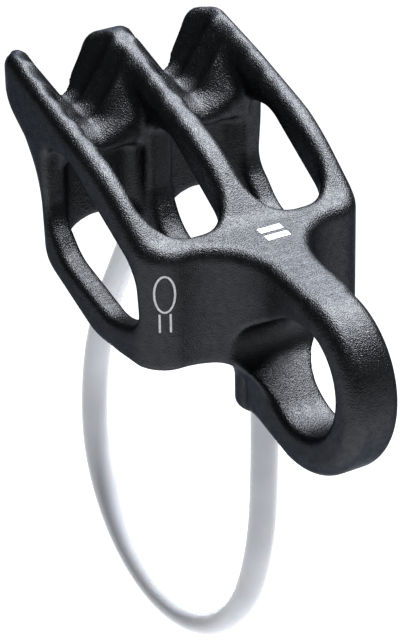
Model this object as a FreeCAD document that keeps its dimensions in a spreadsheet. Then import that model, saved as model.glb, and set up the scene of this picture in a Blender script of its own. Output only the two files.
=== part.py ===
import FreeCAD, Part
import math
import os

import Sketcher

# Tube-style belay device for climbing ropes, in millimetres.
# Origin: the centre of the anchor eye's hole.  +X points out of the eye's nose, +Y across the
# rope slots, +Z up, with the keeper loop hanging below the forged body.

os.makedirs("parts", exist_ok=True)
doc = FreeCAD.newDocument("belay_device")
V = FreeCAD.Vector

# ---------------------------------------------------------------- driving dimensions

SIZES = {
    "body_width": 44.8,         # across the two outer walls
    "rear_round": 7.5,          # plan rounding of the rear outer corners
    "front_round": 6.0,         # plan rounding of the front outer corners
    "panel_front": -17.0,       # front face of the front panel
    "panel_bottom": -2.4,
    "neck_round": 10.5,         # plan fillet between the panel and the eye plate
    "bridge_top": 19.3,         # top of the bridge over the front panel
    "rail_foot": -20.3,         # where the rails rise from the bridge
    "tip_front": -61.5,         # front end of the horn tips
    "tip_top": 40.3,
    "tip_rear": -66.8,
    "notch_floor": 28.1,
    "heel_x": -54.4,            # lower rear corner of the walls
    "heel_z": 8.0,
    "belly_z": -2.7,            # lowest point of the walls
    "eye_radius": 10.0,
    "eye_outer": 15.95,
    "eye_drop": 1.0,            # how far the ring's outside sits below the hole's centre
    "eye_width": 10.0,
    "nose_radius": 2.6,         # relief of the eye's hole towards the neck
    "nose_x": -10.2,
    "keel_bottom": -12.8,       # mouth of the front socket, on the keel behind the eye
    "keel_length": 30.1,        # height of the round column behind the keel
    "slot_front": -21.2,
    "slot_inner": 2.7,          # half the centre wall's thickness
    "slot_outer": 17.6,         # inner face of each outer wall
    "slot_round": 6.6,
    "block_front": -49.0,       # front of the notched block behind each slot
    "block_bottom": 23.5,
    "bar_front": -52.3,         # front of the thin bar below the block
    "window_rear": -50.3,
    "notch_centre": 10.3,       # distance from the middle plane to the V notches
    "notch_slope": 0.75,        # half width gained for each millimetre of height
    "notch_round": 1.2,
    "ridge_pitch": 5.0,
    "ridge_first": -64.0,
    "ridge_gap": 2.6,           # length of each scallop between two ridges
    "ridge_depth": 0.9,
    "arch_top": 11.0,           # top of the arches under the rear bar
    "cut_length": 45.0,         # takes a one-sided pocket right out of the walls
    "socket_radius": 3.1,
    "pivot_depth": 0.8,         # from a socket's mouth to the loop's pivot inside it
    "boss_radius": 4.3,
    "boss_length": 5.0,
    "ferrule_radius": 1.8,
    "ferrule_length": 3.0,
    "loop_radius": 2.45,        # outside radius of the sheathed keeper loop
    "core_radius": 1.5,
}

sheet = doc.addObject("Spreadsheet::Sheet", "Sizes")
for row, (alias, value) in enumerate(SIZES.items(), start=1):
    sheet.set("A%d" % row, alias)
    sheet.set("B%d" % row, str(value))
    sheet.setAlias("B%d" % row, alias)
doc.recompute()


def size(alias):
    return float(sheet.get(alias))


def bind(obj, prop, expression):
    """Tie a property to the sheet, with each alias written as a bare word."""
    for alias in sorted(SIZES, key=len, reverse=True):
        expression = expression.replace("<%s>" % alias, "Sizes.%s" % alias)
    obj.setExpression(prop, expression)


# Keeper loop: control points (X, Z) of its route in the middle plane, from the front socket
# round to the rear one.
LOOP_ROUTE = [
    (-16.5, -12.0), (-16.5, -26.5), (-18.0, -42.0), (-23.5, -57.0), (-35.5, -67.2), (-51.0, -69.0),
    (-65.0, -62.0), (-73.3, -48.2), (-73.2, -32.0), (-68.8, -17.0), (-61.2, -3.6), (-54.2, 8.2),
]
FRONT_END = V(LOOP_ROUTE[0][0], 0, LOOP_ROUTE[0][1])
REAR_END = V(LOOP_ROUTE[-1][0], 0, LOOP_ROUTE[-1][1])
REAR_WAY = (REAR_END - V(LOOP_ROUTE[-2][0], 0, LOOP_ROUTE[-2][1])).normalize()
UP = V(0, 0, 1)

# ---------------------------------------------------------------- sketch helpers

def origin_plane(body, role):
    return next(f for f in body.Origin.OriginFeatures if f.Role == role)


def new_sketch(body, name, role):
    sketch = body.newObject("Sketcher::SketchObject", name)
    sketch.AttachmentSupport = [(origin_plane(body, role), "")]
    sketch.MapMode = "FlatFace"
    return sketch


def rounded_outline(corners):
    """Closed outline through corners (a, b, radius): straight edges joined by tangent arcs."""
    count = len(corners)
    points = [V(a, b, 0) for a, b, _ in corners]
    joints = []
    for i in range(count):
        here = points[i]
        before = (points[i - 1] - here).normalize()
        after = (points[(i + 1) % count] - here).normalize()
        radius = corners[i][2]
        if radius <= 0:
            joints.append((here, here, here))
            continue
        half = 0.5 * before.getAngle(after)
        reach = radius / math.tan(half)
        centre = here + (before + after).normalize() * (radius / math.sin(half))
        middle = centre + (here - centre).normalize() * radius
        joints.append((here + before * reach, middle, here + after * reach))
    edges = []
    for i in range(count):
        start, middle, end = joints[i]
        if (end - start).Length > 1e-6:
            edges.append(Part.Arc(start, middle, end))
        following = joints[(i + 1) % count][0]
        if (following - end).Length > 1e-6:
            edges.append(Part.LineSegment(end, following))
    return edges


def mirrored(corners):
    """The same outline on the other side of the middle plane (second coordinate reversed)."""
    return [(a, -b, r) for a, b, r in reversed(corners)]


def pad(body, name, sketch, expression, midplane=True):
    feature = body.newObject("PartDesign::Pad", name)
    feature.Profile = sketch
    feature.Midplane = midplane
    bind(feature, "Length", expression)
    doc.recompute()
    return feature


def pocket(body, name, sketch, expression=None, midplane=True):
    """Pocket right through the body, or as long as the expression says."""
    feature = body.newObject("PartDesign::Pocket", name)
    feature.Profile = sketch
    feature.Midplane = midplane
    if expression:
        bind(feature, "Length", expression)
    else:
        feature.Type = 1
    before = body.Shape.Volume
    doc.recompute()
    print("%-22s cuts %8.1f mm3" % (name, before - body.Shape.Volume))
    return feature


def raise_sketch(sketch, height):
    """Move a sketch along its plane's normal."""
    sketch.AttachmentOffset = FreeCAD.Placement(V(0, 0, height), FreeCAD.Rotation())


def add_cylinder(body, kind, name, foot, way, radius, height):
    """Cylinder from foot along way; kind is Additive or Subtractive."""
    feature = body.newObject("PartDesign::%sCylinder" % kind, name)
    feature.AttachmentSupport = [(origin_plane(body, "XY_Plane"), "")]
    feature.MapMode = "FlatFace"
    turn = FreeCAD.Rotation(UP, way)
    feature.AttachmentOffset = FreeCAD.Placement(foot, turn)
    bind(feature, "Radius", radius)
    bind(feature, "Height", height)
    before = body.Shape.Volume
    doc.recompute()
    print("%-22s changes volume by %8.1f mm3" % (name, body.Shape.Volume - before))
    return feature


# ---------------------------------------------------------------- forged body

FAR = 90.0      # well outside the part


def bridge_line():
    """Angle on the ring where the bridge's top runs into it, and the top's slope."""
    rise = size("bridge_top") + size("eye_drop")
    reach = math.hypot(size("rail_foot"), rise)
    angle = math.atan2(rise, size("rail_foot")) - math.acos(size("eye_outer") / reach)
    return angle, -1 / math.tan(angle)


def bridge_height(x):
    return size("bridge_top") + bridge_line()[1] * (x - size("rail_foot"))


def side_outline():
    """Side view (X, Z) of the three walls, the rear bar and the front panel."""
    front = size("panel_front") + size("neck_round")
    return [
        (front, size("panel_bottom"), 0),
        (front, bridge_height(front), 0),
        (size("rail_foot"), size("bridge_top"), 8),
        (-32.3, 28.7, 45),
        (size("tip_front"), size("tip_top"), 4),
        (size("tip_rear"), size("tip_top") - 1.6, 1.8),
        (-64.6, 29.5, 14),
        (-56.0, 18.5, 16),
        (size("heel_x"), size("heel_z"), 4),
        (-45.0, 3.4, 12),
        (-34.0, size("belly_z"), 16),
        (-24.0, size("belly_z"), 10),
        (-18.0, size("panel_bottom"), 6),
    ]


def plan_outline():
    """Half of the plan view (X, Y): outer wall, rounded corners and the fillet into the neck."""
    half = 0.5 * size("body_width")
    neck = 0.5 * size("eye_width")
    front = size("panel_front")
    rear = size("tip_rear") - 1.5
    return [
        (FAR, neck, 0),
        (front, neck, size("neck_round")),
        (front, half - 0.9, size("front_round")),
        (-42.0, half + 0.4, 60),
        (rear, half - 0.9, size("rear_round")),
        (rear, 0.5 * half, 0),
        (-FAR, 0.5 * half, 0),
        (-FAR, 2 * half, 0),
        (FAR, 2 * half, 0),
    ]


def slot_outline(rear, side):
    """Plan view (X, Y) of one rope slot, back to x = rear."""
    inner, outer = side * size("slot_inner"), side * size("slot_outer")
    return [
        (size("slot_front"), inner, size("slot_round")),
        (size("slot_front"), outer, size("slot_round")),
        (rear, outer, 2.5),
        (rear, inner, 2.5),
    ]


def window_outline():
    """Side view (X, Z) of the teardrop window through all three walls."""
    rear = size("window_rear")
    return [
        (rear + 0.5, 27.4, 2.2),
        (rear, 14.5, 7),
        (-44.5, 8.6, 9),
        (-30.0, 3.4, 8),
        (-21.8, 4.6, 3.2),
        (-22.6, 14.5, 7),
        (-41.5, 28.0, 7),
    ]


def notch_outline(side, widen):
    """V notch (Y, Z) open at the top, with a narrow rounded floor."""
    centre = side * size("notch_centre")
    floor = size("notch_floor") - widen
    half = size("notch_slope") * (FAR - size("notch_floor")) + widen
    return [
        (centre, floor, size("notch_round")),
        (centre + half, FAR, 0),
        (centre - half, FAR, 0),
    ]


def arch_outline(side):
    """Rear view (Y, Z) of the arch left open under the rear bar."""
    radius = 0.5 * (size("slot_outer") - size("slot_inner"))
    centre = side * 0.5 * (size("slot_outer") + size("slot_inner"))
    return [
        (centre - radius, size("arch_top"), 0.98 * radius),
        (centre + radius, size("arch_top"), 0.98 * radius),
        (centre + radius, -FAR, 0),
        (centre - radius, -FAR, 0),
    ]


def relief_edges():
    """Side view (X, Z) of the wedge that lengthens the eye's hole towards the neck."""
    reach, nose = size("eye_radius"), size("nose_radius")
    lean = math.acos((reach - nose) / -size("nose_x"))
    up = V(-math.cos(lean), math.sin(lean), 0)
    down = V(-math.cos(lean), -math.sin(lean), 0)
    tip = V(size("nose_x"), 0, 0)
    return [
        Part.LineSegment(up * reach, tip + up * nose),
        Part.Arc(tip + up * nose, tip + V(-nose, 0, 0), tip + down * nose),
        Part.LineSegment(tip + down * nose, down * reach),
        Part.LineSegment(down * reach, up * reach),
    ]


def cut_walls(body):
    """Rope slots, recess below the notched block, V notches with their ridges, arches, windows."""
    for name, rear in (("rope_slots", "block_front"), ("rear_recess", "bar_front")):
        sketch = new_sketch(body, name + "_sketch", "XY_Plane")
        for side in (1, -1):
            sketch.addGeometry(rounded_outline(slot_outline(size(rear), side)), False)
        if name == "rope_slots":
            pocket(body, name, sketch)
        else:
            raise_sketch(sketch, size("block_bottom"))
            pocket(body, name, sketch, "<cut_length>", midplane=False)

    sketch = new_sketch(body, "notch_sketch", "YZ_Plane")
    for side in (1, -1):
        sketch.addGeometry(rounded_outline(notch_outline(side, 0.0)), False)
    pocket(body, "v_notches", sketch)
    for count in range(3):
        sketch = new_sketch(body, "scallop_sketch_%d" % (count + 1), "YZ_Plane")
        raise_sketch(sketch, size("ridge_first") + (count + 0.5) * size("ridge_pitch"))
        for side in (1, -1):
            sketch.addGeometry(rounded_outline(notch_outline(side, size("ridge_depth"))), False)
        pocket(body, "scallop_%d" % (count + 1), sketch, "<ridge_gap>")

    sketch = new_sketch(body, "arch_sketch", "YZ_Plane")
    raise_sketch(sketch, size("bar_front") + 2)
    for side in (1, -1):
        sketch.addGeometry(rounded_outline(arch_outline(side)), False)
    pocket(body, "rear_arches", sketch, "<cut_length>", midplane=False)

    sketch = new_sketch(body, "window_sketch", "XZ_Plane")
    sketch.addGeometry(rounded_outline(window_outline()), False)
    pocket(body, "wall_windows", sketch)


def add_rear_socket(body):
    foot = REAR_END - REAR_WAY * size("pivot_depth")
    add_cylinder(body, "Additive", "rear_boss", foot, REAR_WAY, "<boss_radius>", "<boss_length>")
    add_cylinder(body, "Subtractive", "rear_socket", foot, REAR_WAY, "<socket_radius>",
                 "<pivot_depth> + <socket_radius>")
    add_cylinder(body, "Subtractive", "rear_ferrule_seat", REAR_END + REAR_WAY * size("socket_radius"),
                 REAR_WAY, "<ferrule_radius>", "<ferrule_length>")


def add_eye(body):
    """Ring, neck and keel, the front socket in the keel, and the anchor eye's hole."""
    sketch = new_sketch(body, "eye_sketch", "XZ_Plane")
    middle = V(0, -size("eye_drop"), 0)
    sketch.addGeometry(Part.Circle(middle, V(0, 0, 1), size("eye_outer")), False)
    radius = sketch.addConstraint(Sketcher.Constraint("Radius", 0, size("eye_outer")))
    sketch.renameConstraint(radius, "outer")
    bind(sketch, "Constraints.outer", "<eye_outer>")
    pad(body, "eye_ring", sketch, "<eye_width>")

    top, keel = bridge_line()[0], math.radians(-103)
    touch = [(size("eye_outer") * math.cos(t), size("eye_outer") * math.sin(t) - size("eye_drop"), 0)
             for t in (top, keel)]
    sketch = new_sketch(body, "neck_sketch", "XZ_Plane")
    sketch.addGeometry(rounded_outline([
        touch[0],
        (FRONT_END.x, bridge_height(FRONT_END.x), 0),
        (FRONT_END.x, size("keel_bottom"), 0),
        (-12.2, size("keel_bottom"), 6),
        touch[1],
    ]), False)
    pad(body, "neck_plate", sketch, "<eye_width>")
    foot = V(FRONT_END.x, 0, size("keel_bottom"))
    add_cylinder(body, "Additive", "keel_round", foot, UP, "<eye_width> / 2", "<keel_length>")
    add_cylinder(body, "Subtractive", "front_socket", foot, UP, "<socket_radius>",
                 "<pivot_depth> + <socket_radius>")
    add_cylinder(body, "Subtractive", "front_ferrule_seat", FRONT_END + UP * size("socket_radius"), UP,
                 "<ferrule_radius>", "<ferrule_length>")

    sketch = new_sketch(body, "hole_sketch", "XZ_Plane")
    sketch.addGeometry(Part.Circle(V(0, 0, 0), V(0, 0, 1), size("eye_radius")), False)
    sketch.addConstraint(Sketcher.Constraint("Coincident", 0, 3, -1, 1))
    radius = sketch.addConstraint(Sketcher.Constraint("Radius", 0, size("eye_radius")))
    sketch.renameConstraint(radius, "bore")
    bind(sketch, "Constraints.bore", "<eye_radius>")
    pocket(body, "anchor_eye", sketch)

    sketch = new_sketch(body, "relief_sketch", "XZ_Plane")
    sketch.addGeometry(relief_edges(), False)
    pocket(body, "eye_relief", sketch)


def build_forged_body():
    body = doc.addObject("PartDesign::Body", "forged_body")
    body.Label = "forged_body"

    sketch = new_sketch(body, "wall_sketch", "XZ_Plane")
    sketch.addGeometry(rounded_outline(side_outline()), False)
    pad(body, "wall_block", sketch, "<body_width> + 1.0")

    sketch = new_sketch(body, "plan_sketch", "XY_Plane")
    sketch.addGeometry(rounded_outline(plan_outline()), False)
    sketch.addGeometry(rounded_outline(mirrored(plan_outline())), False)
    pocket(body, "plan_trim", sketch)

    cut_walls(body)
    add_rear_socket(body)
    add_eye(body)
    return body


# ---------------------------------------------------------------- keeper loop

def loop_path(points):
    """Straight runs joined by tangent arcs, each arc as large as its two runs allow."""
    edges = []
    radii = []
    last = points[0]
    for before, here, after in zip(points, points[1:], points[2:]):
        back = before - here
        ahead = after - here
        shorter = min(back.Length, ahead.Length)
        back.normalize()
        ahead.normalize()
        reach = 0.45 * shorter
        half = 0.5 * back.getAngle(ahead)
        radius = reach * math.tan(half)
        centre = here + (back + ahead).normalize() * (radius / math.sin(half))
        middle = centre + (here - centre).normalize() * radius
        start, end = here + back * reach, here + ahead * reach
        edges.append(Part.LineSegment(last, start).toShape())
        edges.append(Part.Arc(start, middle, end).toShape())
        radii.append(radius)
        last = end
    edges.append(Part.LineSegment(last, points[-1]).toShape())
    return Part.Wire(edges), radii


def swept_rod(path, radius):
    start = path.Vertexes[0].Point
    way = path.Edges[0].tangentAt(path.Edges[0].FirstParameter)
    profile = Part.Wire([Part.makeCircle(radius, start, way)])
    return path.makePipeShell([profile], True, False)


def add_solid(name, solid):
    feature = doc.addObject("Part::Feature", name)
    feature.Label = name
    feature.Shape = solid
    return feature


def build_loop():
    points = [V(x, 0, z) for x, z in LOOP_ROUTE]
    path, radii = loop_path(points)
    print("loop bend radii:", ", ".join("%.1f" % r for r in radii))
    print("loop length %.1f mm" % path.Length)
    outer, inner = size("loop_radius"), size("core_radius")
    rod = swept_rod(path, outer)
    print("sheath sweep volume %.1f, section times length %.1f"
          % (rod.Volume, math.pi * outer ** 2 * path.Length))
    core = swept_rod(path, inner)
    balls = [Part.makeSphere(outer, end) for end in (FRONT_END, REAR_END)]
    sheath = rod.fuse(balls).cut(core)
    return sheath, core


def build_ferrule(name, foot, way):
    ferrule = doc.addObject("Part::Cylinder", name)
    ferrule.Label = name
    bind(ferrule, "Radius", "<ferrule_radius>")
    bind(ferrule, "Height", "<ferrule_length>")
    ferrule.Placement = FreeCAD.Placement(foot, FreeCAD.Rotation(UP, way))
    return ferrule


forged_body = build_forged_body()
sheath_solid, core_solid = build_loop()
parts = [
    forged_body,
    add_solid("keeper_sheath", sheath_solid),
    add_solid("keeper_core", core_solid),
    build_ferrule("front_ferrule", FRONT_END + UP * size("socket_radius"), UP),
    build_ferrule("rear_ferrule", REAR_END + REAR_WAY * size("socket_radius"), REAR_WAY),
]
doc.recompute()

for obj in doc.Objects:
    if "Invalid" in obj.State or "Error" in obj.State:
        raise RuntimeError("%s failed: %s" % (obj.Name, obj.State))
for part in parts:
    shape = part.Shape
    if shape.isNull() or not shape.isValid() or not shape.Solids:
        raise RuntimeError("%s has no valid solid" % part.Label)
    print("%-16s %9.1f mm3, %d solid(s)" % (part.Label, shape.Volume, len(shape.Solids)))
    shape.exportStep("parts/%s.step" % part.Label)
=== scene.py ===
import math

import bpy
import numpy as np
from mathutils import Matrix, Vector
from mathutils.bvhtree import BVHTree


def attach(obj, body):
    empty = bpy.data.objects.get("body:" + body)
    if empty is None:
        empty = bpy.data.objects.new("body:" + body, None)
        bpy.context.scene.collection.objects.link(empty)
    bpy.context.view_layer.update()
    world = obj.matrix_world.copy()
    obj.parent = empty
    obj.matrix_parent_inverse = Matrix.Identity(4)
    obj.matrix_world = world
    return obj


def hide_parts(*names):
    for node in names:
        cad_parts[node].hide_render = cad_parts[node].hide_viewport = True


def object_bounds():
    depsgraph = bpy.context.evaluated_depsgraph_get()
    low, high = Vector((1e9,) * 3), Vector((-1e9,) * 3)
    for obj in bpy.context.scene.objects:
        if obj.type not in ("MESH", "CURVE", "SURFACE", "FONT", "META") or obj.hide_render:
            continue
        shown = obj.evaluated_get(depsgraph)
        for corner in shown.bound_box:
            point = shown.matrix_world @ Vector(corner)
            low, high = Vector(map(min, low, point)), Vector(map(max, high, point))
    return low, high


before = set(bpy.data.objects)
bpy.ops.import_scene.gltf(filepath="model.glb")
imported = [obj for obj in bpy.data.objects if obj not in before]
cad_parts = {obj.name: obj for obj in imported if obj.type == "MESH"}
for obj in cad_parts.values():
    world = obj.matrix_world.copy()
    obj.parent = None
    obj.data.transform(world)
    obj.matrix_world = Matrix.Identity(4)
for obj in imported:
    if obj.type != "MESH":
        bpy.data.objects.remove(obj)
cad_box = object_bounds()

MM = 0.001
DEVICE, LOOP = "device_body", "keeper_loop"

# ---------------------------------------------------------------- camera

CAMERA_TARGET = (-13.622, -14.348, 7.767)     # mm
CAMERA_DISTANCE = 485.585
CAMERA_AZIMUTH = 57.507                 # degrees from looking along +Y
CAMERA_ELEVATION = 25.963
CAMERA_ROLL = -0.927
CAMERA_LENS = 168.69


def add_camera():
    azimuth, elevation = math.radians(CAMERA_AZIMUTH), math.radians(CAMERA_ELEVATION)
    back = Vector((math.sin(azimuth) * math.cos(elevation),
                   -math.cos(azimuth) * math.cos(elevation), math.sin(elevation)))
    right = Vector((0, 0, 1)).cross(back).normalized()
    up = back.cross(right)
    turn = Matrix((right, up, back)).transposed() @ Matrix.Rotation(math.radians(CAMERA_ROLL), 3, "Z")
    place = (Vector(CAMERA_TARGET) + back * CAMERA_DISTANCE) * MM
    data = bpy.data.cameras.new("camera")
    data.lens = CAMERA_LENS
    data.clip_start, data.clip_end = 0.01, 20
    camera = bpy.data.objects.new("camera", data)
    camera.matrix_world = Matrix.Translation(place) @ turn.to_4x4()
    bpy.context.collection.objects.link(camera)
    bpy.context.scene.camera = camera


add_camera()

# ---------------------------------------------------------------- materials


class Nodes:
    """Short calls for building one node material."""

    def __init__(self, name):
        self.material = bpy.data.materials.new(name)
        self.material.use_nodes = True
        self.tree = self.material.node_tree
        self.shader = self.tree.nodes["Principled BSDF"]
        self.coords = self.tree.nodes.new("ShaderNodeTexCoord").outputs["Object"]

    def node(self, kind, inputs):
        made = self.tree.nodes.new(kind)
        for key, value in inputs.items():
            if isinstance(value, bpy.types.NodeSocket):
                self.tree.links.new(value, made.inputs[key])
            else:
                made.inputs[key].default_value = value
        return made

    def noise(self, scale, detail=2.0, rough=0.5):
        return self.node("ShaderNodeTexNoise", {"Vector": self.coords, "Scale": scale, "Detail": detail,
                                                "Roughness": rough}).outputs["Fac"]

    def remap(self, value, low, high, out_low, out_high):
        return self.node("ShaderNodeMapRange", {"Value": value, "From Min": low, "From Max": high,
                                                "To Min": out_low, "To Max": out_high}).outputs[0]

    def ramp(self, value, stops):
        """Colour going over between two stops (place, colour)."""
        made = self.node("ShaderNodeValToRGB", {"Fac": value})
        for element, (place, colour) in zip(made.color_ramp.elements, stops):
            element.position, element.color = place, (*colour, 1)
        return made.outputs["Color"]

    def bump(self, height, strength, distance):
        return self.node("ShaderNodeBump", {"Height": height, "Strength": strength,
                                            "Distance": distance}).outputs["Normal"]

    def set(self, **values):
        for key, value in values.items():
            name = key.replace("_", " ")
            if isinstance(value, bpy.types.NodeSocket):
                self.tree.links.new(value, self.shader.inputs[name])
            else:
                self.shader.inputs[name].default_value = value
        return self.material


def anodised_material():
    """Hot-forged aluminium, shot-blasted and dyed blue-black."""
    m = Nodes("anodised_body")
    colour = m.ramp(m.noise(900, 3.0, 0.6), [(0.3, (0.030, 0.031, 0.034)), (0.7, (0.042, 0.0435, 0.047))])
    rough = m.remap(m.noise(260, 3.0, 0.55), 0.3, 0.7, 0.34, 0.42)
    normal = m.bump(m.noise(4200, 1.5, 0.5), 0.9, 0.00014)
    return m.set(Base_Color=colour, Metallic=1.0, Roughness=rough, Normal=normal,
                 Specular_Tint=(0.36, 0.37, 0.39, 1))


def sheath_material():
    """Glossy translucent plastic over the loop's cable."""
    m = Nodes("sheath")
    cloud = m.noise(120, 3.0, 0.5)
    colour = m.ramp(cloud, [(0.3, (0.43, 0.45, 0.49)), (0.7, (0.50, 0.52, 0.57))])
    normal = m.bump(m.noise(500, 2.0, 0.5), 0.15, 0.00002)
    return m.set(Base_Color=colour, Roughness=0.22, Normal=normal, Subsurface_Weight=0.25,
                 Subsurface_Scale=0.002, IOR=1.5, Coat_Weight=0.3, Coat_Roughness=0.08)


def steel_material():
    m = Nodes("steel_core")
    twist = m.node("ShaderNodeTexWave", {"Vector": m.coords, "Scale": 900, "Distortion": 0.5})
    return m.set(Base_Color=(0.55, 0.55, 0.56, 1), Metallic=1.0, Roughness=0.35,
                 Normal=m.bump(twist.outputs["Fac"], 0.5, 0.00005))


def ferrule_material():
    m = Nodes("ferrule")
    return m.set(Base_Color=(0.6, 0.6, 0.62, 1), Metallic=1.0,
                 Roughness=m.remap(m.noise(800), 0.3, 0.7, 0.3, 0.5))


def mark_material():
    m = Nodes("laser_mark")
    colour = m.ramp(m.noise(2500), [(0.35, (0.62, 0.64, 0.67)), (0.65, (0.82, 0.83, 0.85))])
    return m.set(Base_Color=colour, Roughness=0.55, Normal=m.bump(m.noise(3400), 0.4, 0.00003))


# ---------------------------------------------------------------- sizes in mm, close to the CAD part's

BODY_WIDTH = 44.8                 # across the two outer walls
PANEL_FRONT, PANEL_BOTTOM = -17.0, -2.4
NECK_ROUND = 10.5                 # plan fillet between the panel and the eye plate
BRIDGE_TOP = 19.3                 # top of the bridge over the front panel
RAIL_FOOT, RAIL_BEND = -20.3, (-32.3, 28.7)
TIP_FRONT, TIP_REAR, TIP_TOP = -61.5, -66.8, 40.3
HEEL = (-54.4, 8.0)               # lower rear corner of the walls
BELLY = -2.1                      # lowest point of the walls
EDGE_ROUND, PANEL_EDGE_ROUND = 2.2, 1.1
FILLET = 1.5                      # between the walls, the block and the rear boss
REAR_ROUND, HORN_ROUND = 8.0, 4.0       # rear outer corners, low down and at the horns

SLOT_FRONT, SLOT_INNER, SLOT_OUTER, SLOT_ROUND = -21.2, 2.7, 17.6, 6.6
SLOT_EDGE_ROUND, SLOT_REAR_EDGE_ROUND, WINDOW_EDGE_ROUND = 2.0, 2.6, 1.5
OUTER_WINDOW_REAR, INNER_WINDOW_REAR = -49.8, -47.8
WINDOW_CHANGE = 9.0               # from the middle plane; inside the slots, where one outline takes over
BLOCK_FRONT, BLOCK_BOTTOM = -49.0, 23.5     # notched block behind the slots
BAR_FRONT = -52.3                 # front of the thin bar below the block
FAR_REAR = -90.0                  # well behind the part
BLOCK_OVERLAP = 0.8               # of the block into the outer walls
ARCH_TOP, ARCH_EDGE_ROUND = 11.0, 1.6       # arches under the bar

NOTCH_CENTRE, NOTCH_MIDDLE_X = 10.3, -58.0
NOTCH_FLOOR, NOTCH_FALL = 28.1, 0.2         # floor at the middle, and its fall towards the front
NOTCH_SLOPE, NOTCH_WIDENING = 0.75, 0.014   # half width per height, and its gain towards the front
NOTCH_FLOOR_ROUND, NOTCH_EDGE_ROUND, NOTCH_FRONT_ROUND = 1.0, 1.3, 5.0
RIDGE_FIRST, RIDGE_PITCH, RIDGE_DEPTH = -64.0, 5.0, 0.9

EYE_RADIUS, EYE_OUTER, EYE_WIDTH, EYE_DROP = 10.0, 15.95, 10.0, 1.0
EYE_EDGE_ROUND, EYE_FILLET = 2.8, 5.0
HOLE_EDGE_ROUND, HOLE_LOWER_EDGE_ROUND = 0.6, 1.5
NOSE_RADIUS, NOSE_X, NOSE_TURN = 5.0, -9.0, 5.0     # end of the hole towards the neck; degrees
KEEL_BOTTOM, KEEL_ANGLE, KEEL_EDGE_ROUND = -12.8, -103.0, 1.4
SOCKET_RADIUS, SOCKET_EDGE_ROUND, PIVOT_DEPTH = 3.1, 0.4, 0.8
BOSS_RADIUS, BOSS_LENGTH, BOSS_EDGE_ROUND = 4.3, 5.0, 0.8
SPOTFACE_LENGTH = 10.0            # clear run for the loop below the rear socket
ARC_STEP = 0.35                   # between the points of a rounded corner

LOOP_ROUTE = [
    (-16.5, -12.0), (-16.5, -26.5), (-18.0, -42.0), (-23.5, -57.0), (-35.5, -67.2), (-51.0, -69.0),
    (-65.0, -62.0), (-73.3, -48.2), (-73.2, -32.0), (-68.8, -17.0), (-61.2, -3.6), (-54.2, 8.2),
]


def rounded_outline(corners):
    """Points along a closed outline through corners (a, b, radius) with tangent arcs."""
    points = []
    count = len(corners)
    for i, (a, b, radius) in enumerate(corners):
        here = np.array((a, b), float)
        if radius <= 0:
            points.append(here)
            continue
        before = np.array(corners[i - 1][:2]) - here
        after = np.array(corners[(i + 1) % count][:2]) - here
        before /= np.linalg.norm(before)
        after /= np.linalg.norm(after)
        half = 0.5 * math.acos(np.clip(before @ after, -1, 1))
        middle = before + after
        centre = here + middle / np.linalg.norm(middle) * radius / math.sin(half)
        start = here + before * radius / math.tan(half) - centre
        sweep = math.pi - 2 * half
        turn = math.copysign(1.0, before[1] * after[0] - before[0] * after[1])
        pieces = max(3, int(radius * sweep / ARC_STEP))
        for angle in np.linspace(0, turn * sweep, pieces + 1):
            c, s = math.cos(angle), math.sin(angle)
            points.append(centre + np.array((c * start[0] - s * start[1], s * start[0] + c * start[1])))
    return np.array(points)


def outline_field(points, a, b):
    """Signed distance from every grid point (a, b) to a closed outline, negative inside."""
    a, b = np.meshgrid(a, b, indexing="ij")
    nearest = np.full(a.shape, 1e9)
    inside = np.zeros(a.shape, bool)
    for (xa, ya), (xb, yb) in zip(points, np.roll(points, -1, axis=0)):
        dx, dy = xb - xa, yb - ya
        along = np.clip(((a - xa) * dx + (b - ya) * dy) / (dx * dx + dy * dy + 1e-12), 0, 1)
        nearest = np.minimum(nearest, (a - xa - along * dx) ** 2 + (b - ya - along * dy) ** 2)
        if ya != yb:
            inside ^= ((ya > b) != (yb > b)) & (a < (xb - xa) * (b - ya) / (yb - ya) + xa)
    return np.where(inside, -1, 1) * np.sqrt(nearest)


# ---------------------------------------------------------------- distance-field joins

def join_round(a, b, radius):
    """Union with a concave fillet."""
    reach = np.hypot(np.maximum(radius - a, 0), np.maximum(radius - b, 0))
    return np.maximum(radius, np.minimum(a, b)) - reach


def keep_round(a, b, radius):
    """Intersection with a rounded edge."""
    reach = np.hypot(np.maximum(radius + a, 0), np.maximum(radius + b, 0))
    return np.minimum(-radius, np.maximum(a, b)) + reach


def cut_round(a, b, radius):
    """a without b, with a rounded edge."""
    return keep_round(a, -b, radius)


def rod_field(grid, foot, way, radius):
    """Distance to an endless rod, and the distance along it from foot."""
    x, y, z = grid
    dx, dy, dz = x - foot[0], y - foot[1], z - foot[2]
    along = dx * way[0] + dy * way[1] + dz * way[2]
    out = np.sqrt(np.maximum(dx * dx + dy * dy + dz * dz - along * along, 0))
    return out - radius, along


# ---------------------------------------------------------------- forged body

def bridge_line():
    """Angle on the ring where the bridge's top runs into it, and the top's slope."""
    reach = math.hypot(RAIL_FOOT, BRIDGE_TOP + EYE_DROP)
    angle = math.atan2(BRIDGE_TOP + EYE_DROP, RAIL_FOOT) - math.acos(EYE_OUTER / reach)
    return angle, -1 / math.tan(angle)


def side_outline():
    """Walls, rear bar, bridge and panel in the side view; the front end lies inside the eye plate."""
    front = 2.0
    return [
        (front, PANEL_BOTTOM, 0),
        (front, BRIDGE_TOP + bridge_line()[1] * (front - RAIL_FOOT), 0),
        (RAIL_FOOT, BRIDGE_TOP, 8),
        (*RAIL_BEND, 45),
        (TIP_FRONT, TIP_TOP, 4),
        (TIP_REAR, TIP_TOP - 1.6, 1.8),
        (-64.6, 29.5, 14),
        (-56.0, 18.5, 16),
        (*HEEL, 4),
        (-45.0, 3.4, 12),
        (-34.0, BELLY, 16),
        (-24.0, BELLY, 10),
        (-18.0, PANEL_BOTTOM, 6),
    ]


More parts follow.
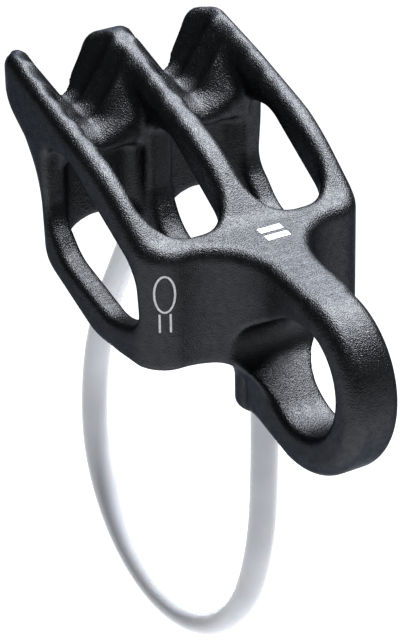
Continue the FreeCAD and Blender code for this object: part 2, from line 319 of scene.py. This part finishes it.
def rear_outline():
    """Everything in front of the sloping rear face, in the side view."""
    return [
        (60.0, 60.0, 0),
        (TIP_REAR - 0.5, 60.0, 0),
        (TIP_REAR, TIP_TOP - 2, 6),
        (-64.0, 29.8, 14),
        (-56.2, 19.0, 14),
        (-55.2, 5.0, 10),
        (-55.2, -40.0, 0),
        (60.0, -40.0, 0),
    ]


def plan_outline():
    """Whole plan view of the walls, the panel and its fillets into the neck."""
    half, neck = 0.5 * BODY_WIDTH, 0.5 * EYE_WIDTH
    right = [
        (20.0, neck, 0),
        (PANEL_FRONT, neck, NECK_ROUND),
        (PANEL_FRONT, half - 0.9, 6.0),
        (-42.0, half + 0.4, 60),
        (TIP_REAR - 1.5, half - 0.9, 8.5),
    ]
    return right + [(a, -b, r) for a, b, r in reversed(right)]


def window_outline(rear):
    """Teardrop window of a wall, in the side view; rear is x at its rear corner, before rounding."""
    return [
        (rear + 0.5, 27.4, 2.2),
        (rear, 14.5, 7),
        (-44.5, 8.6, 9),
        (-30.0, 3.4, 8),
        (-21.8, 4.6, 3.2),
        (-22.6, 14.5, 7),
        (-41.5, 28.0, 7),
    ]


def eye_outline():
    """Eye plate in the side view: ring, neck and keel."""
    front_x = LOOP_ROUTE[0][0]
    angle, slope = bridge_line()
    circle = [(EYE_OUTER * math.cos(t), EYE_OUTER * math.sin(t) - EYE_DROP, 0)
              for t in np.linspace(math.radians(KEEL_ANGLE), angle, 60)]
    return circle + [
        (front_x, BRIDGE_TOP + slope * (front_x - RAIL_FOOT), 0),
        (front_x, KEEL_BOTTOM, 0),
        (-12.5, KEEL_BOTTOM - 0.6, 6),
    ]


def slot_outline(rear):
    """Plan view of one rope slot, back to x = rear."""
    return [
        (SLOT_FRONT, SLOT_INNER, SLOT_ROUND),
        (SLOT_FRONT, SLOT_OUTER, SLOT_ROUND),
        (rear, SLOT_OUTER, 3),
        (rear, SLOT_INNER, 3),
    ]


def block_outline():
    """Notched block in the side view, with its rounded front."""
    return [
        (BLOCK_FRONT, BLOCK_BOTTOM, 2),
        (BLOCK_FRONT, 29.0, 6),
        (-58.0, 41.0, 0),
        (FAR_REAR, 60.0, 0),
        (FAR_REAR, BLOCK_BOTTOM, 0),
    ]


def hole_outline():
    """Eye hole in the side view: a circle drawn out towards a smaller one in the neck."""
    lean = math.acos((EYE_RADIUS - NOSE_RADIUS) / -NOSE_X)
    ring = [(EYE_RADIUS * math.cos(t), EYE_RADIUS * math.sin(t))
            for t in np.linspace(lean - math.pi, math.pi - lean, 80)]
    nose = [(NOSE_X + NOSE_RADIUS * math.cos(t), NOSE_RADIUS * math.sin(t))
            for t in np.linspace(math.pi - lean, math.pi + lean, 24)]
    c, s = math.cos(math.radians(NOSE_TURN)), math.sin(math.radians(NOSE_TURN))
    return np.array([(c * a + s * b, c * b - s * a) for a, b in ring + nose])


class BodyField:
    """Signed distance to the forged body on a grid, built up step by step; negative inside."""

    def __init__(self, xs, ys, zs):
        self.xs, self.ys, self.zs = xs, ys, zs
        self.grid = (xs[:, None, None], ys[None, :, None], zs[None, None, :])

    def side_view(self, corners):
        return outline_field(rounded_outline(corners), self.xs, self.zs)[:, None, :]

    def plan_view(self, corners, ys):
        return outline_field(rounded_outline(corners), self.xs, ys)[:, :, None]

    def walls(self, side, rear):
        """The walls' outer shape, with rope slots and windows cut through."""
        x, y, z = self.grid
        plan = self.plan_view(plan_outline(), self.ys)
        edge = EDGE_ROUND - 0.25 * np.minimum(8 - z, x + 30)
        body = keep_round(side, plan, np.clip(edge, PANEL_EDGE_ROUND, EDGE_ROUND))
        body = keep_round(body, rear, 0.5)
        below_block, past_block = (self.plan_view(slot_outline(x_rear), np.abs(self.ys))
                                   for x_rear in (BAR_FRONT, FAR_REAR))
        slot = np.where(z > BLOCK_BOTTOM + 3, past_block, below_block)
        body = cut_round(body, slot, np.clip(SLOT_EDGE_ROUND - (x + 44) * 0.2,
                                             SLOT_EDGE_ROUND, SLOT_REAR_EDGE_ROUND))
        outer, inner = (self.side_view(window_outline(x_rear))
                        for x_rear in (OUTER_WINDOW_REAR, INNER_WINDOW_REAR))
        return cut_round(body, np.where(np.abs(y) > WINDOW_CHANGE, outer, inner), WINDOW_EDGE_ROUND)

    def notches(self):
        """Both V notches, with scallops between upright ridges."""
        x, y, z = self.grid
        depth = z - (NOTCH_FLOOR - NOTCH_FALL * (x - NOTCH_MIDDLE_X))
        offset = np.abs(np.abs(y) - NOTCH_CENTRE)
        slope = NOTCH_SLOPE + NOTCH_WIDENING * (x - NOTCH_MIDDLE_X - 1)
        notch = (offset - slope * depth) / math.sqrt(1 + NOTCH_SLOPE ** 2)
        notch = keep_round(notch, NOTCH_FLOOR_ROUND - depth, NOTCH_FLOOR_ROUND)
        scallop = RIDGE_DEPTH * np.abs(np.sin(np.pi * (x - RIDGE_FIRST) / RIDGE_PITCH))
        return notch - scallop * np.clip(depth / 2.0, 0, 1)

    def block(self, side, rear, notch):
        """Notched block between the outer walls; the notches' edges open out towards its front."""
        x, y, _ = self.grid
        block = np.maximum(np.maximum(side, rear), np.abs(y) - SLOT_OUTER - BLOCK_OVERLAP)
        block = np.maximum(self.side_view(block_outline()), block)
        edge = np.clip(NOTCH_EDGE_ROUND + (x + 56) * 0.7, NOTCH_EDGE_ROUND, NOTCH_FRONT_ROUND)
        return cut_round(block, notch, edge)

    def arches(self):
        """Rounded openings under the rear bar, one behind each slot."""
        x, y, z = self.grid
        radius, centre = 0.5 * (SLOT_OUTER - SLOT_INNER), 0.5 * (SLOT_OUTER + SLOT_INNER)
        across, above = np.abs(y) - centre, z - (ARCH_TOP - radius)
        arch = np.where(above > 0, np.hypot(across, above), np.abs(across)) - radius
        return np.maximum(arch, x - (BAR_FRONT + 2))

    def with_rear_socket(self, body):
        """Rear boss joined on along the loop's last stretch, then its socket cut."""
        end, before = (Vector((x, 0, z)) for x, z in (LOOP_ROUTE[-1], LOOP_ROUTE[-2]))
        way = (end - before).normalized()
        foot = end - way * PIVOT_DEPTH
        boss, along = rod_field(self.grid, foot, way, BOSS_RADIUS)
        boss = keep_round(boss, np.abs(along - 0.5 * BOSS_LENGTH) - 0.5 * BOSS_LENGTH,
                          BOSS_EDGE_ROUND)
        socket, along = rod_field(self.grid, foot, way, SOCKET_RADIUS)
        reach = 0.5 * SPOTFACE_LENGTH
        socket = np.maximum(socket, np.abs(along + reach) - reach - PIVOT_DEPTH - SOCKET_RADIUS)
        return cut_round(join_round(body, boss, FILLET), socket, SOCKET_EDGE_ROUND)

    def with_eye(self, body):
        """Ring, neck and keel joined on, then the eye's hole and the front socket cut."""
        x, y, z = self.grid
        plate = keep_round(self.side_view(eye_outline()), np.abs(y) - 0.5 * EYE_WIDTH, EYE_EDGE_ROUND)
        mouth = (LOOP_ROUTE[0][0], 0, KEEL_BOTTOM)
        keel, along = rod_field(self.grid, mouth, (0, 0, 1), 0.5 * EYE_WIDTH)
        keel = keep_round(keel, np.maximum(-along, along - (BRIDGE_TOP - KEEL_BOTTOM - 2)),
                          KEEL_EDGE_ROUND)
        body = join_round(body, np.minimum(plate, keel), EYE_FILLET * np.clip((3 - z) / 5, 0.02, 1))
        hole = outline_field(hole_outline(), self.xs, self.zs)[:, None, :]
        edge = HOLE_EDGE_ROUND + np.maximum(-(z + 4) / 4, (x - 2) / 4)
        body = cut_round(body, hole, np.clip(edge, HOLE_EDGE_ROUND, HOLE_LOWER_EDGE_ROUND))
        socket, along = rod_field(self.grid, mouth, (0, 0, 1), SOCKET_RADIUS)
        socket = np.maximum(socket, np.abs(along) - PIVOT_DEPTH - SOCKET_RADIUS)
        return cut_round(body, socket, SOCKET_EDGE_ROUND)

    def whole(self):
        """The finished body; the corners of its rear face are tighter towards the horns."""
        _, y, z = self.grid
        side = self.side_view(side_outline())
        corner = np.clip(REAR_ROUND - (z - 27) * 0.6, HORN_ROUND, REAR_ROUND)
        rear = keep_round(self.side_view(rear_outline()), np.abs(y) - 0.5 * BODY_WIDTH, corner)
        notch = self.notches()
        walls = cut_round(self.walls(side, rear), notch, NOTCH_EDGE_ROUND)
        body = join_round(walls, self.block(side, rear, notch), FILLET)
        body = np.maximum(np.maximum(body, -notch), keep_round(side, rear, EDGE_ROUND))
        body = cut_round(body, self.arches(), ARCH_EDGE_ROUND)
        return self.with_eye(self.with_rear_socket(body))


def surface(field):
    """Surface nets: vertices and quads where the field is zero."""
    inside = field < 0
    steps = np.array([(i, j, k) for i in (0, 1) for j in (0, 1) for k in (0, 1)])
    cells = tuple(n - 1 for n in field.shape)

    def corner(array, step):
        i, j, k = step
        return array[i:cells[0] + i, j:cells[1] + j, k:cells[2] + k]

    filled = sum(corner(inside, s).astype(np.int8) for s in steps)
    active = (filled > 0) & (filled < 8)
    number = np.full(cells, -1, np.int64)
    number[active] = np.arange(active.sum())
    where = np.argwhere(active)
    values = {tuple(s): corner(field, s)[active] for s in steps}
    total = np.zeros((len(where), 3))
    count = np.zeros(len(where))
    for s in steps:
        for axis in range(3):
            if s[axis]:
                continue
            e = s.copy()
            e[axis] = 1
            fa, fb = values[tuple(s)], values[tuple(e)]
            crossing = (fa < 0) != (fb < 0)
            place = np.tile(s.astype(float), (len(where), 1))
            place[crossing, axis] = fa[crossing] / (fa[crossing] - fb[crossing])
            total[crossing] += place[crossing]
            count[crossing] += 1
    vertices = where + total / count[:, None]

    quads = []
    for axis in range(3):
        low = [slice(1, n - 1) for n in field.shape]
        low[axis] = slice(0, cells[axis])
        high = list(low)
        high[axis] = slice(1, field.shape[axis])
        a, b = inside[tuple(low)], inside[tuple(high)]
        u, v = (axis + 1) % 3, (axis + 2) % 3
        edge = np.argwhere(a != b)
        base = edge.copy()
        base[:, u] += 1
        base[:, v] += 1
        ring = []
        for du, dv in ((-1, -1), (0, -1), (0, 0), (-1, 0)):
            cell = base.copy()
            cell[:, u] += du
            cell[:, v] += dv
            ring.append(number[tuple(cell.T)])
        ring = np.stack(ring, axis=1)
        flip = ~a[tuple(edge.T)]
        ring[flip] = ring[flip][:, ::-1]
        quads.append(ring)
    return vertices, np.concatenate(quads)


def sample(field, points):
    """Trilinear value and gradient of the field at points in grid units."""
    base = np.clip(np.floor(points).astype(int), 0, np.array(field.shape) - 2)
    part = points - base
    value = np.zeros(len(points))
    gradient = np.zeros((len(points), 3))
    for i in (0, 1):
        for j in (0, 1):
            for k in (0, 1):
                f = field[base[:, 0] + i, base[:, 1] + j, base[:, 2] + k]
                w = [part[:, n] if s else 1 - part[:, n] for n, s in enumerate((i, j, k))]
                value += f * w[0] * w[1] * w[2]
                for n, s in enumerate((i, j, k)):
                    others = np.prod([w[m] for m in range(3) if m != n], axis=0)
                    gradient[:, n] += (1 if s else -1) * f * others
    return value, gradient


def relaxed(vertices, quads, rounds):
    """Vertices moved towards the mean of their neighbours."""
    pairs = np.concatenate([quads[:, [n, (n + 1) % 4]] for n in range(4)])
    pairs = np.concatenate([pairs, pairs[:, ::-1]])
    degree = np.bincount(pairs[:, 0], minlength=len(vertices))[:, None]
    for _ in range(rounds):
        mean = np.stack([np.bincount(pairs[:, 0], vertices[pairs[:, 1], n], len(vertices))
                         for n in range(3)], axis=1) / degree
        vertices = vertices + 0.5 * (mean - vertices)
    return vertices


GRID_CELL = 0.45                  # mm between the field's grid points
GRID_LOW, GRID_HIGH = np.array((-66.8, -23.4, -17.2)), np.array((17.2, 23.4, 42.0))
RELAX_ROUNDS, PULL_ROUNDS = 2, 3
LONGEST_PULL = 0.5                # of value over squared slope, in one round


def forged_body(material):
    """The body's skin: surface nets, evened out and pulled back onto the field's zero."""
    xs, ys, zs = (np.arange(a, b + GRID_CELL, GRID_CELL) for a, b in zip(GRID_LOW, GRID_HIGH))
    field = BodyField(xs, ys, zs).whole()
    vertices, quads = surface(field)
    vertices = relaxed(vertices, quads, RELAX_ROUNDS)
    for _ in range(PULL_ROUNDS):
        value, gradient = sample(field, vertices)
        step = value / np.maximum((gradient ** 2).sum(axis=1), 1e-6)
        vertices -= np.clip(step, -LONGEST_PULL, LONGEST_PULL)[:, None] * gradient
    mesh = bpy.data.meshes.new("forged_body_skin")
    mesh.from_pydata((vertices * GRID_CELL + GRID_LOW) * MM, [], quads.tolist())
    mesh.update()
    mesh.polygons.foreach_set("use_smooth", [True] * len(mesh.polygons))
    piece = bpy.data.objects.new("forged_body_skin", mesh)
    bpy.context.collection.objects.link(piece)
    mesh.materials.append(material)
    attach(piece, DEVICE)
    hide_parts("forged_body")
    return piece


body_piece = forged_body(anodised_material())

# ---------------------------------------------------------------- laser marks, plain shapes of no meaning

MARK_HEIGHT, MARK_SINK = 0.03, 0.08       # mm above and below the body's surface
MARK_LIFT = 12.0                  # mm from the mark's centre to where its points are dropped from
LINE_WIDTH, BAR_WIDTH = 0.35, 1.3


def ring_line(a, b, radius_a, radius_b, count=48):
    """Points round an oval centred on (a, b)."""
    turns = [2 * math.pi * n / count for n in range(count)]
    return [Vector((a + radius_a * math.cos(t), b + radius_b * math.sin(t))) for t in turns]


def straight_line(start, end, count=12):
    return [Vector(start).lerp(Vector(end), n / (count - 1)) for n in range(count)]


def laser_mark(name, strokes, centre, across, up, material):
    """Strokes (points, width, closed) in millimetres, laid on the body's surface below centre."""
    mesh = body_piece.data
    tree = BVHTree.FromPolygons([v.co for v in mesh.vertices], [p.vertices for p in mesh.polygons])
    across, up = Vector(across).normalized(), Vector(up).normalized()
    away = across.cross(up)

    def laid(point):
        above = Vector(centre) + across * point[0] + up * point[1] + away * MARK_LIFT
        place, normal, *_ = tree.ray_cast(above * MM, -away)
        return place + normal * MARK_HEIGHT * MM, place - normal * MARK_SINK * MM

    vertices, faces = [], []
    for points, width, closed in strokes:
        base, count = len(vertices), len(points)
        for n, point in enumerate(points):
            ahead = points[(n + 1) % count] if closed or n + 1 < count else point
            behind = points[n - 1] if closed or n else point
            side = (ahead - behind).normalized()
            side = Vector((-side[1], side[0])) * 0.5 * width
            (left, left_low), (right, right_low) = laid(point + side), laid(point - side)
            vertices += [left, right, right_low, left_low]
        for n in range(count if closed else count - 1):
            a, b = base + 4 * n, base + 4 * ((n + 1) % count)
            faces += [(a + k, a + (k + 1) % 4, b + (k + 1) % 4, b + k) for k in range(4)]
        if not closed:
            last = base + 4 * (count - 1)
            faces += [(base + 3, base + 2, base + 1, base), (last, last + 1, last + 2, last + 3)]
    skin = bpy.data.meshes.new(name)
    skin.from_pydata(vertices, [], faces)
    skin.update()
    piece = bpy.data.objects.new(name, skin)
    bpy.context.collection.objects.link(piece)
    skin.materials.append(material)
    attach(piece, DEVICE)


def add_marks(material):
    oval = (ring_line(0.0, 1.6, 1.7, 3.2), LINE_WIDTH, True)
    legs = [(straight_line((a, -1.9), (a, -5.2)), LINE_WIDTH, False) for a in (-0.9, 0.9)]
    laser_mark("panel_mark", [oval] + legs, (-17.6, -18.6, 10.2), (0.5, 0.86, 0), (0, 0, 1), material)
    bars = [(straight_line((-2.2, b), (2.2, b)), BAR_WIDTH, False) for b in (-1.1, 1.1)]
    laser_mark("bridge_mark", bars, (-16.0, 1.6, 18.0), (0, 1, 0), (-1, 0, 0.2), material)


add_marks(mark_material())

# ---------------------------------------------------------------- keeper loop

LOOP_RADIUS = 2.45
ROUTE_STEPS, TUBE_SIDES = 16, 32
DOME_ANGLES = [math.radians(a) for a in (75, 55, 35, 17)]     # rings of a domed end, from its tip


def route_line(points):
    """Points read from the route's smooth curve, in metres."""
    data = bpy.data.curves.new("route", "CURVE")
    data.dimensions = "3D"
    data.resolution_u = ROUTE_STEPS
    spline = data.splines.new("NURBS")
    spline.points.add(len(points) - 1)
    for point, (x, z) in zip(spline.points, points):
        point.co = (x * MM, 0, z * MM, 1)
    spline.order_u = 3
    spline.use_endpoint_u = True
    holder = bpy.data.objects.new("route", data)
    line = bpy.data.meshes.new_from_object(holder)
    co = [v.co.copy() for v in line.vertices]
    bpy.data.objects.remove(holder)
    bpy.data.meshes.remove(line)
    return co


def tube(name, line, radius):
    """Round tube along a line in the XZ plane, with domed ends."""
    tangents = []
    for i in range(len(line)):
        ahead, behind = line[min(i + 1, len(line) - 1)], line[max(i - 1, 0)]
        tangents.append((ahead - behind).normalized())
    rings = []
    for a in DOME_ANGLES:
        rings.append((line[0] - tangents[0] * radius * math.sin(a), tangents[0], radius * math.cos(a)))
    rings += [(p, t, radius) for p, t in zip(line, tangents)]
    for a in reversed(DOME_ANGLES):
        rings.append((line[-1] + tangents[-1] * radius * math.sin(a), tangents[-1], radius * math.cos(a)))
    vertices, faces = [], []
    across = Vector((0, 1, 0))
    for centre, tangent, r in rings:
        up = tangent.cross(across).normalized()
        for k in range(TUBE_SIDES):
            angle = 2 * math.pi * k / TUBE_SIDES
            vertices.append(centre + (across * math.cos(angle) + up * math.sin(angle)) * r)
    for i in range(len(rings) - 1):
        for k in range(TUBE_SIDES):
            a, b = i * TUBE_SIDES + k, i * TUBE_SIDES + (k + 1) % TUBE_SIDES
            faces.append((a, b, b + TUBE_SIDES, a + TUBE_SIDES))
    tips = (0, line[0] - tangents[0] * radius), (len(rings) - 1, line[-1] + tangents[-1] * radius)
    for ring, centre in tips:
        tip = len(vertices)
        vertices.append(centre)
        for k in range(TUBE_SIDES):
            a, b = ring * TUBE_SIDES + k, ring * TUBE_SIDES + (k + 1) % TUBE_SIDES
            faces.append((tip, b, a) if ring == 0 else (tip, a, b))
    mesh = bpy.data.meshes.new(name)
    mesh.from_pydata(vertices, [], faces)
    mesh.update()
    mesh.polygons.foreach_set("use_smooth", [True] * len(mesh.polygons))
    piece = bpy.data.objects.new(name, mesh)
    bpy.context.collection.objects.link(piece)
    return piece


def keeper_loop(material):
    line = route_line(LOOP_ROUTE)
    piece = tube("keeper_sheath_skin", line, LOOP_RADIUS * MM)
    piece.data.materials.append(material)
    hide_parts("keeper_sheath")
    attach(piece, LOOP)


keeper_loop(sheath_material())
for node, material in (("keeper_core", steel_material()), ("front_ferrule", ferrule_material()),
                       ("rear_ferrule", ferrule_material())):
    cad_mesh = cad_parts[node].data
    cad_mesh.materials.clear()
    cad_mesh.materials.append(material)

# ---------------------------------------------------------------- floor and light

FLOOR_DROP, FLOOR_HALF = 0.5, 6.0         # metres below the part, and half the floor's side
LIGHT_AIM = (-0.025, 0, 0.0)


def add_floor():
    mesh = bpy.data.meshes.new("floor")
    level = cad_box[0][2] - FLOOR_DROP
    corners = [(a * FLOOR_HALF, b * FLOOR_HALF, level) for a, b in ((-1, -1), (1, -1), (1, 1), (-1, 1))]
    mesh.from_pydata(corners, [], [(0, 1, 2, 3)])
    m = Nodes("floor_paper")
    colour = m.ramp(m.noise(3), [(0.3, (0.93, 0.93, 0.93)), (0.7, (0.95, 0.95, 0.95))])
    mesh.materials.append(m.set(Base_Color=colour, Roughness=0.9, Emission_Color=(1, 1, 1, 1),
                                Emission_Strength=0.9))
    floor = bpy.data.objects.new("floor", mesh)
    bpy.context.collection.objects.link(floor)


def add_area(name, place, width, height, power):
    """Rectangular lamp at place, turned to LIGHT_AIM."""
    data = bpy.data.lights.new(name, "AREA")
    data.shape = "RECTANGLE"
    data.size, data.size_y = width, height
    data.energy = power
    light = bpy.data.objects.new(name, data)
    way = Vector(LIGHT_AIM) - Vector(place)
    light.matrix_world = Matrix.Translation(place) @ way.to_track_quat("-Z", "Y").to_matrix().to_4x4()
    bpy.context.collection.objects.link(light)


def add_world(strength):
    world = bpy.data.worlds.new("studio")
    world.use_nodes = True
    background = world.node_tree.nodes["Background"]
    background.inputs["Color"].default_value = (0.95, 0.96, 1.0, 1)
    background.inputs["Strength"].default_value = strength
    bpy.context.scene.world = world


bpy.context.scene.view_settings.view_transform = "Standard"
add_floor()
add_world(0.09)
add_area("top_box", (-0.10, 0.30, 0.55), 0.45, 0.45, 19.0)
add_area("back_box", (-0.60, 0.40, 0.38), 0.5, 0.35, 7.0)
